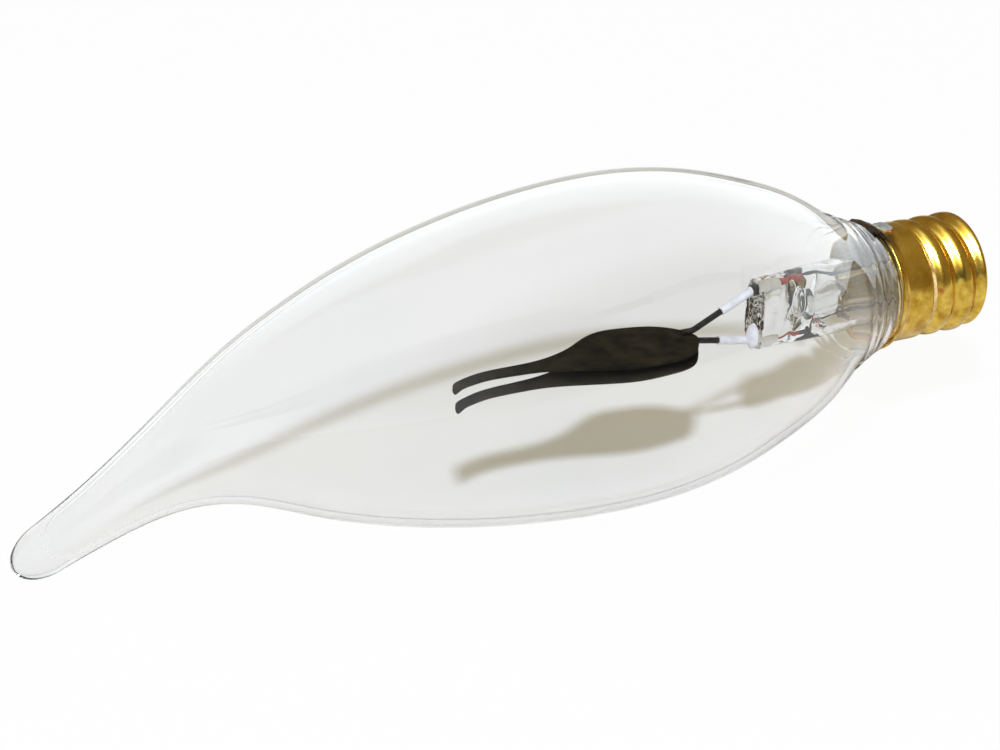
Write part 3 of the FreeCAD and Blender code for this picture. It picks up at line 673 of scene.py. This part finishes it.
# %% Keep the result of a tree as a plain mesh
def from_tree(name, tree, values):
    """Evaluate a node tree with its inputs set and keep the result as a plain mesh in the lamp's frame."""
    holder = bpy.data.objects.new(name + " holder", bpy.data.meshes.new(name + " holder"))
    bpy.context.scene.collection.objects.link(holder)
    modifier = holder.modifiers.new("nodes", "NODES")
    modifier.node_group = tree
    for item in tree.interface.items_tree:
        if item.in_out == "INPUT" and item.name in values:
            modifier[item.identifier] = values[item.name]
    graph = bpy.context.evaluated_depsgraph_get()
    mesh = bpy.data.meshes.new_from_object(holder.evaluated_get(graph))
    bpy.data.objects.remove(holder)
    mesh.name = name
    mesh.transform(lamp_frame @ Matrix.Scale(MM, 4))
    mesh.shade_smooth()
    piece = bpy.data.objects.new(name, mesh)
    bpy.context.scene.collection.objects.link(piece)
    print(name, "from its tree, faces:", len(mesh.polygons))
    return piece


# %% [markdown]
# ## Metals and other finishes
# Brass is copper and zinc: yellow, with an oxide that turns it olive where fingers and flux reach it. The flame
# plates are oxidised sheet, almost black and quite matt. None of these small pieces is even in colour, so one
# recipe serves them all: noise mixes a bright and a dark shade, and the darker places are rougher. Image textures
# would need a photograph of each and would blur close up.


# %% One recipe for the small pieces
def mottled(name, bright, dark, grain, roughness, spread, metallic=0.0, bumps=0.1, depth=0.05, gloss=0.5,
            stains=()):
    """Two colours mixed by noise of the given grain in mm; darker places are rougher. A stain is a lamp point, its
    full and its outer reach in mm, and a colour."""
    made, tree = material(name)
    noise = add(tree, "ShaderNodeTexNoise", Vector=place(tree, 1 / grain), Scale=1.0, Detail=6.0, Roughness=0.6)
    hue = add(tree, "ShaderNodeValToRGB", noise, stops=((0.35, dark), (0.65, bright))).outputs[0]
    for point, full, reach, code in stains:
        away = add(tree, "ShaderNodeVectorMath", place(tree), TO_MM * world_point(*point),
                   operation="DISTANCE").outputs["Value"]
        ragged = add(tree, "ShaderNodeMath", noise, reach, away, operation="MULTIPLY_ADD")
        share = add(tree, "ShaderNodeMapRange", ragged, full + reach / 2, reach * 1.5, 1.0, 0.0,
                    interpolation_type="SMOOTHSTEP")
        hue = add(tree, "ShaderNodeMix", data_type="RGBA", Factor=share, _6=hue, _7=srgb(code)).outputs[2]
    rough = add(tree, "ShaderNodeMapRange", noise, 0.3, 0.7, roughness + spread, roughness)
    bump = add(tree, "ShaderNodeBump", Strength=bumps, Distance=depth * MM, Height=noise)
    shader = add(tree, "ShaderNodeBsdfPrincipled", Base_Color=hue, Metallic=metallic, Roughness=rough, Normal=bump,
                 Specular_IOR_Level=gloss)
    add(tree, "ShaderNodeOutputMaterial", Surface=shader)
    print("finish:", name)
    return made


# %% Brass, plates and wires
# Yellow and bright from the roller, smoked near the solder and rubbed to bare copper at two spots on the skirt
BRASS_STAINS = ((on_rim(6.4, 165, 0.2), 0.5, 2.6, "#4A3A1C"), (on_rim(6.4, 192, 0.2), 0.6, 1.4, "#3A2D18"),
                (on_rim(6.0, 178, -1.9), 0.2, 1.1, "#D98A62"), (on_rim(5.9, 100, -5.0), 0.1, 0.6, "#A85C34"))
brass = mottled("rolled brass", "#EDCB5E", "#B58A2A", 1.6, 0.17, 0.14, 1.0, 0.35, stains=BRASS_STAINS)
# Duller than the shell, because it was pressed and not polished by a roller
contact_brass = mottled("pressed brass", "#C2A050", "#8C7330", 0.8, 0.3, 0.2, 1.0)
# Oxide takes the shine from the sheet and leaves a warm black
flame_sheet = mottled("oxidised flame sheet", "#2A2416", "#120F09", 2.5, 0.75, 0.2, 0.0, 0.4, gloss=0.1)
# Dark grey with a dull shine along the wire
lead_wire = mottled("oxidised nickel wire", "#3A332C", "#1A1613", 0.5, 0.4, 0.2, 0.3)
# Brown-black from the heat of the seal
outer_wire = mottled("dark copper wire", "#4B3A2C", "#241C17", 0.5, 0.4, 0.2, 0.5)
# The clear red of copper oxide, seen through glass
seal_copper = mottled("copper-clad seal wire", "#D2502E", "#9A3420", 0.4, 0.35, 0.2, 0.3)

# %% Frit, cement, solder and the base's inner pieces
# Milk white and glossy, with a cold tint
white_frit = mottled("white frit", "#EDEEF2", "#D5D8E0", 0.6, 0.25, 0.1)
# Nearly black glass with a wet shine
dark_frit = mottled("dark frit", "#3C362F", "#1F1B18", 0.4, 0.2, 0.1)
# Matt and sandy, browned on the side where the solder and flux were heated
SCORCH = on_rim(6.2, 196, 0.6)
cement = mottled("fired cement", "#F7E6B0", "#CFAF74", 0.9, 0.8, 0.1, 0.0, 0.5,
                 stains=((SCORCH, 4.5, 9.5, "#6E5A2E"),))
# Pale grey, half matt where it froze in grains
solder = mottled("soft solder", "#C2CCCD", "#8C9694", 0.6, 0.45, 0.2, 0.35, 0.5)
# Brown-black resin that boiled and set with a hard gloss
flux = mottled("burnt flux", "#3B2A1B", "#16100B", 0.7, 0.12, 0.2, 0.0, 0.5)
# Black and slightly shiny, as the mould left it
phenolic = mottled("moulded phenolic", "#1D1B1A", "#131211", 0.6, 0.35, 0.1)
# An even tan coat with soft highlights
lacquer = mottled("lacquered ceramic", "#A87F5A", "#8B6746", 0.5, 0.35, 0.1)
# Bright grey metal with a light bloom
tinned = mottled("tinned steel", "#B4B6B8", "#8E9093", 0.5, 0.3, 0.1, 1.0)

# %% Give the CAD pieces their finishes
finishes = {
    "centre_contact": contact_brass, "flame_plate_upper": flame_sheet, "flame_plate_lower": flame_sheet,
    "inner_lead_upper": lead_wire, "inner_lead_lower": lead_wire, "outer_lead_shell": outer_wire,
    "outer_lead_contact": outer_wire, "seal_wire_upper": seal_copper, "seal_wire_lower": seal_copper,
    "lead_sleeve_upper": white_frit, "lead_sleeve_lower": white_frit, "lead_bead_lower": white_frit,
    "lead_bead_upper": dark_frit, "basing_cement": cement, "rim_solder": solder, "centre_solder": solder,
    "rim_flux": flux, "base_insulator": phenolic, "resistor_body": lacquer, "resistor_cap_top": tinned,
    "resistor_cap_bottom": tinned, "resistor_lead": tinned}
for node_name, surface in finishes.items():
    nodes[node_name].data.materials.clear()
    nodes[node_name].data.materials.append(surface)
print("finished CAD pieces:", len(finishes))

# %% [markdown]
# ## The shell's wall
# The tree makes the outer face of the shell only. The real one is a quarter of a millimetre thick all over, also in
# the thread, so a Solidify modifier adds that wall on the inside. It follows every later change of the thread.

# %% Build the shell and give it its wall
shell = from_tree("rolled_shell", shell_tree, {**SHELL_SIZES, "Material": brass})
wall = shell.modifiers.new("wall", "SOLIDIFY")
wall.thickness = SHELL_WALL * MM
wall.offset = -1.0
keep(shell, "rolled_brass", "screw_shell")

# %% [markdown]
# ## Lumps of frit, flux and solder
# These drops set where they ran, so no two are alike. Each is a ball stretched along the lamp's radius, round it
# and along its axis, and pushed about by a few crossed waves so that it looks poured and not turned. Metaballs
# would flow together too, but their meshes are coarse and slow.


# %% Lumps
def lump(name, centre, angle, radii, surface, roughen, size, seed):
    """Uneven ball. Radii are along the radius at this angle, round the lamp and along the axis, in mm."""
    ball = rough_ball(radii, size, roughen, seed)
    turn = math.radians(angle)
    x = ball[..., 0] * math.cos(turn) - ball[..., 1] * math.sin(turn)
    y = ball[..., 0] * math.sin(turn) + ball[..., 1] * math.cos(turn)
    return solid(name, np.stack([x, y, ball[..., 2]], axis=-1) + np.array(centre), surface)


keep(lump("white_lobe", (2.85, 0.5, 13.85), 0, (1.35, 0.85, 0.55), white_frit, 0.08, 1.5, 1.0), "white_frit",
     "lead_bead_lower")
keep(lump("solder_smear", on_rim(5.97, 187, -1.6), 187, (0.28, 1.2, 0.85), solder, 0.18, 1.1, 2.0), "solder",
     "rim_solder")
keep(lump("flux_drop", on_rim(6.2, 191, 0.5), 191, (0.5, 2.5, 0.85), flux, 0.2, 1.2, 3.0), "burnt_flux",
     "rim_flux")

# %% [markdown]
# ## Seal wires
# Only copper-clad wire expands as the lead glass does, so a short red length of it makes each seal. Each wire is a
# thin bar that wanders a little, as a soft wire does in glass that moves. A bevelled curve would look the same.

# %% Seal wires
SEAL_RADIUS, SEAL_WOBBLE = 0.15, 0.14
WOBBLES = np.array([9.0, 13.0])   # how fast the wire wanders in X and in Y
WIRE_AROUND, WIRE_STEPS = 16, 40


def seal_wire(name, start, end):
    """Thin wire that wanders a little between two points of the stem."""
    rings = []
    for share in np.linspace(0, 1, WIRE_STEPS):
        middle = np.array(start) * (1 - share) + np.array(end) * share
        middle[:2] += SEAL_WOBBLE * np.sin(WOBBLES * share) * math.sin(math.pi * share)
        rings.append(circle(middle[2], SEAL_RADIUS, WIRE_AROUND) + np.array([middle[0], middle[1], 0]))
    return solid(name, on_stem(np.array(rings)), seal_copper)


keep(seal_wire("red_wire_upper", (-2.72, 0, 8.3), (-2.75, 0, 11.2)), "seal_copper", "seal_wire_upper")
keep(seal_wire("red_wire_lower", (2.72, 0, 8.3), (2.75, 0, 11.2)), "seal_copper", "seal_wire_lower")

# %% [markdown]
# ## Cement
# The cement is a ring between glass and brass that swells a little under the neck, where it was squeezed in. Its
# profile is a closed loop of points that is turned about the lamp's axis. The two ends that can be seen are uneven,
# and one level of subdivision rounds the corners.

# %% Cement as a body of revolution with an uneven skin
COLLAR = ((5.01, -0.2), (5.35, 0.0), (5.66, -0.25), (5.68, -3.0), (5.55, -5.2), (4.6, -5.9), (3.2, -5.8), (2.1, -5.4),
          (2.2, -4.95), (3.2, -4.68), (4.9, -4.64), (5.01, -4.5), (5.01, -2.4))
COLLAR_AROUND = 120
COLLAR_MIDDLE, COLLAR_EVEN = -2.4, 2.15   # the skin stays even this far from the middle of the ring

collar_rings = np.array([circle(height, radius, COLLAR_AROUND) for radius, height in COLLAR + COLLAR[:1]])[::-1]
collar_ends = np.abs(collar_rings[..., 2] - COLLAR_MIDDLE) > COLLAR_EVEN
collar_rings[..., 2] += bumpy(collar_rings, 1.7, 0.12, 6.0) * collar_ends
collar_rows = len(collar_rings) - 1
collar_faces = [tuple(index % (collar_rows * COLLAR_AROUND) for index in face)
                for face in skin_faces(collar_rows + 1, COLLAR_AROUND)]
collar = to_object("cement_collar", collar_rings[:-1].reshape(-1, 3), collar_faces, cement)
rounding = collar.modifiers.new("rounding", "SUBSURF")
rounding.levels = rounding.render_levels = 1
keep(collar, "basing_cement", "basing_cement")

# %% [markdown]
# ## Floor
# The floor is pale and matt. The photograph's background is pure white, but its glass shows a light grey floor
# with soft shadows. More light on the floor would wash these out, so only the camera's own rays see it nearly
# white, and light through glass sees it as it is shaded.

# %% Floor
FLOOR_SIZE = 6.0
FLOOR_DROP = 0.00006   # metres below the lamp's lowest point, so that no two faces share a place
CAMERA_WHITE = 0.95

floor_mesh = bpy.data.meshes.new("floor")
half = FLOOR_SIZE / 2
floor_mesh.from_pydata([(-half, -half, -FLOOR_DROP), (half, -half, -FLOOR_DROP), (half, half, -FLOOR_DROP),
                        (-half, half, -FLOOR_DROP)], [], [(0, 1, 2, 3)])
floor = bpy.data.objects.new("floor", floor_mesh)
bpy.context.scene.collection.objects.link(floor)
# Matt paper: pale all over, with no shine of its own
floor_finish, floor_tree = material("pale matt floor")
paper = add(floor_tree, "ShaderNodeBsdfDiffuse", srgb("#F0F0EF"))
floor_white = add(floor_tree, "ShaderNodeEmission", (1, 1, 1, 1), 1.0)
camera_sees = add(floor_tree, "ShaderNodeLightPath").outputs["Is Camera Ray"]
white_share = add(floor_tree, "ShaderNodeMath", camera_sees, CAMERA_WHITE, operation="MULTIPLY")
add(floor_tree, "ShaderNodeOutputMaterial",
    Surface=add(floor_tree, "ShaderNodeMixShader", white_share, paper, floor_white))
floor_mesh.materials.append(floor_finish)
print("floor in m:", FLOOR_SIZE)

# %% [markdown]
# ## The room
# The world stands for the room round the lamp. One picture of a room could do this, but it would be a file, so the
# room is a few soft gradients. What a ray sees depends on how it got there: the camera sees white, matt surfaces
# get warm light, rough metal mirrors dim walls and a bright ceiling, clear glass mirrors a bright room with one
# dark corner, and a ray that went through glass sees white, unless the glass has turned it back once.

# %% World
DARK_SIDE = (-0.55, -0.72, 0.43)     # direction in which rough metal mirrors the darkest wall
DARK_CORNER = (0.55, -0.73, 0.40)    # direction in which clear glass mirrors a dark corner
WALL_LIGHT, CEILING_LIGHT = (0.28, 0.03), 1.0   # walls away from the dark side and in its middle
WALL_FADE, CEILING_RISE, CORNER_FADE, SPOT_FADE = (0.30, 0.85), (0.80, 0.97), (0.60, 0.93), (0.80, 0.95)
MIRRORED_LIGHT = (2.6, 0.05)         # the room in clear glass, away from the corner and in it
THROUGH_LIGHT = (0.95, 0.05)         # what is seen through glass, and the corner of a ray that was turned back
AMBIENT_LIGHT = 0.45

world = bpy.data.worlds.new("studio")
bpy.context.scene.world = world
world.use_nodes = True
sky = world.node_tree
sky.nodes.clear()
direction = add(sky, "ShaderNodeTexCoord").outputs["Generated"]
upward = add(sky, "ShaderNodeSeparateXYZ", direction).outputs["Z"]
to_side = add(sky, "ShaderNodeVectorMath", direction, DARK_SIDE, operation="DOT_PRODUCT").outputs["Value"]
to_corner = add(sky, "ShaderNodeVectorMath", direction, DARK_CORNER, operation="DOT_PRODUCT").outputs["Value"]
dim = add(sky, "ShaderNodeMapRange", to_side, *WALL_FADE, *WALL_LIGHT, interpolation_type="SMOOTHSTEP")
opening = add(sky, "ShaderNodeMapRange", upward, *CEILING_RISE, 0.0, 1.0, interpolation_type="SMOOTHSTEP")
shade = add(sky, "ShaderNodeMapRange", to_corner, *CORNER_FADE, *MIRRORED_LIGHT, interpolation_type="SMOOTHSTEP")
spot = add(sky, "ShaderNodeMapRange", to_corner, *SPOT_FADE, *THROUGH_LIGHT, interpolation_type="SMOOTHSTEP")

# %% What each kind of ray sees
ray = add(sky, "ShaderNodeLightPath").outputs
walls = add(sky, "ShaderNodeBackground", srgb("#FFE2B4"), dim)
ceiling = add(sky, "ShaderNodeBackground", srgb("#F2F9FF"), CEILING_LIGHT)
room = add(sky, "ShaderNodeMixShader", opening, walls, ceiling)
mirrored = add(sky, "ShaderNodeBackground", srgb("#F2F9FF"), shade)
# Glossy Depth counts mirrorings. Exactly one is a ray that the far wall of the glass turned back
turned_back = add(sky, "ShaderNodeMath", ray["Glossy Depth"], 1.0, 0.1, operation="COMPARE")
beyond = add(sky, "ShaderNodeMix", data_type="FLOAT", Factor=turned_back, _2=THROUGH_LIGHT[0], _3=spot)
through = add(sky, "ShaderNodeBackground", srgb("#F8FBFC"), beyond)
ambient = add(sky, "ShaderNodeBackground", srgb("#FFF1C8"), AMBIENT_LIGHT)
backdrop = add(sky, "ShaderNodeBackground", (1, 1, 1, 1), 1.0)
clear = add(sky, "ShaderNodeMixShader", ray["Is Singular Ray"], room, mirrored)
glassy = add(sky, "ShaderNodeMixShader", ray["Is Transmission Ray"], clear, through)
# Diffuse Depth is above zero for all light that a matt surface has sent on, also after it passed glass
bounced = add(sky, "ShaderNodeMath", ray["Diffuse Depth"], 0.5, operation="GREATER_THAN")
matt = add(sky, "ShaderNodeMixShader", bounced, glassy, ambient)
add(sky, "ShaderNodeOutputWorld", Surface=add(sky, "ShaderNodeMixShader", ray["Is Camera Ray"], matt, backdrop))
print("nodes in the world:", len(sky.nodes))

# %% [markdown]
# ## Lamps
# One soft box stands above the near side. Its place was worked out from where the plates' shadow falls, and its
# size from how soft that shadow is. A second, larger box shows in the brass alone, because the photograph's shell
# has broad bright highlights that its glass lacks. Turning up the first box would bleach the floor instead.

# %% Key light and glint
TOWARD_KEY, KEY_DISTANCE, KEY_SIZE, KEY_POWER = (-0.44, -0.63, 1.0), 0.9, 0.08, 7.2
TOWARD_GLINT, GLINT_SIZE, GLINT_POWER = (-0.44, -0.47, 1.0), 0.44, 48.0


def soft_box(name, toward, aim, size, power, colour, glossy=True, matt_light=True):
    """Square lamp that looks at aim from the given direction."""
    position = aim + Vector(toward).normalized() * KEY_DISTANCE
    light_data = bpy.data.lights.new(name, "AREA")
    light_data.shape = "RECTANGLE"
    light_data.size = light_data.size_y = size
    light_data.energy = power
    light_data.color = srgb(colour)[:3]
    light = bpy.data.objects.new(name, light_data)
    light.location = position
    light.rotation_mode = "QUATERNION"
    light.rotation_quaternion = (aim - position).to_track_quat("-Z", "Y")
    light.visible_glossy = glossy
    light.visible_diffuse = matt_light
    light.visible_transmission = False
    bpy.context.scene.collection.objects.link(light)
    print(name, "at", [round(value, 3) for value in position], "m")
    return light


soft_box("key", TOWARD_KEY, world_point(0, 0, 35), KEY_SIZE, KEY_POWER, "#DFE8FF", glossy=False)
glint = soft_box("brass glint", TOWARD_GLINT, world_point(0, 0, -6), GLINT_SIZE, GLINT_POWER, "#FFFFFF",
                 matt_light=False)
receivers = bpy.data.collections.new("brass glint receivers")
receivers.objects.link(shell)
glint.light_linking.receiver_collection = receivers

# %% [markdown]
# ## Camera
# The camera's place was solved from points of the photograph whose places on the lamp are known, in the lamp's own
# frame. So it stays right when the lamp rests in another way. The photograph is turned a little, which the up
# direction takes up.

# %% Camera: solved from the photograph in the lamp's own frame
CAMERA_AT = (-207.11, 361.85, 278.54)
CAMERA_AIM = (1.91, 0.0, 42.66)
PHOTO_TILT = math.radians(4.96)
FOCAL_PIXELS, IMAGE_WIDTH, SENSOR_WIDTH = 5010.97, 1000, 36.0

camera_data = bpy.data.cameras.new("camera")
camera_data.sensor_width = SENSOR_WIDTH
camera_data.lens = SENSOR_WIDTH * FOCAL_PIXELS / IMAGE_WIDTH
camera_data.clip_start, camera_data.clip_end = 0.01, 20.0
camera = bpy.data.objects.new("camera", camera_data)
camera.location = world_point(*CAMERA_AT)
look = (world_point(*CAMERA_AIM) - camera.location).normalized()
up_hint = lamp_frame.to_3x3() @ Vector((-math.cos(PHOTO_TILT), 0, math.sin(PHOTO_TILT)))
right = look.cross(up_hint).normalized()
camera.rotation_mode = "QUATERNION"
camera.rotation_quaternion = Matrix((right, right.cross(look), -look)).transposed().to_quaternion()
bpy.context.scene.collection.objects.link(camera)
bpy.context.scene.camera = camera
print("lens in mm:", round(camera_data.lens, 1))

# %% [markdown]
# ## Colour management
# Standard colour management shows each colour as it is written.

# %% Colour management
bpy.context.scene.view_settings.view_transform = "Standard"
